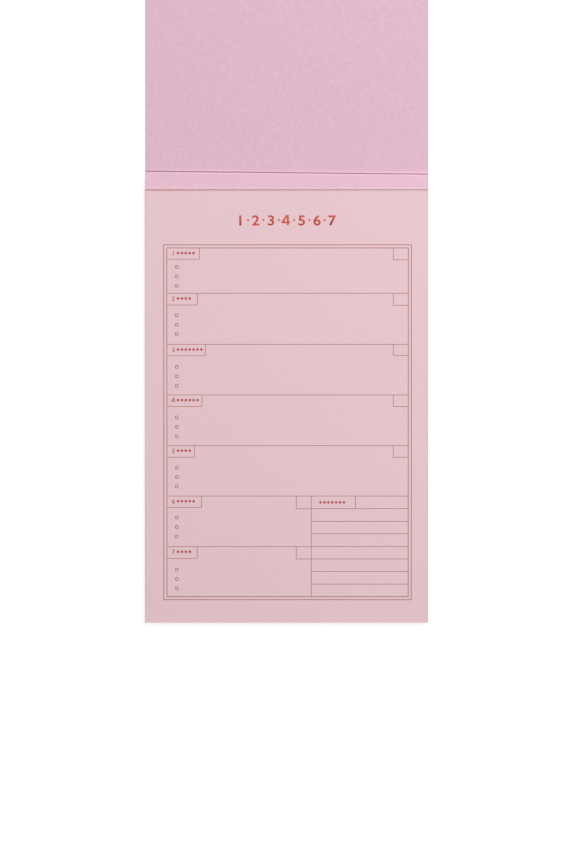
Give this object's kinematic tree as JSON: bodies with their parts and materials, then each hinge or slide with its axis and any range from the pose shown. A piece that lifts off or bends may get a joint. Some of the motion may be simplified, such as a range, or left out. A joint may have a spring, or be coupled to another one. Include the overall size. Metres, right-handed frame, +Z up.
{
  "type": "weekly list pad",
  "caption": "Tear-off weekly list pad with ruled day boxes, its sheets glued at the head inside a wrap-around card cover that flips open past the head.",
  "frame": {"origin": "on the table, at the middle of the underside of the sheets' area of the back cover", "axes": "+X to the right across the sheets, +Y from the foot towards the head, +Z up from the table"},
  "size_m": [0.1334, 0.4053, 0.0073],
  "materials": {
    "cover_card": "matte",
    "sheet_paper": "matte",
    "grey_board": "matte",
    "padding_glue": "satin"
  },
  "bodies": {
    "pad": {"cover_back_and_spine": "cover_card", "backing_board": "grey_board", "sheet_block": "sheet_paper", "head_glue": "padding_glue"},
    "strip": {"hinge_strip": "cover_card"},
    "cover": {"front_cover": "cover_card"}
  },
  "joints": [
    {"name": "spine_fold", "type": "hinge", "parent": "pad", "child": "strip", "pos_m": [0, 0.10225, 0.00705], "axis": [1, 0, 0], "range_deg": [0, 219.4]},
    {"name": "score_fold", "type": "hinge", "parent": "strip", "child": "cover", "pos_m": [0, 0.11051, 0.00025], "axis": [1, 0, 0], "range_deg": [-39.46, 0]}
  ],
  "couplings": [
    {"joint": "score_fold", "follows": "spine_fold", "ratio": -0.1798}
  ]
}
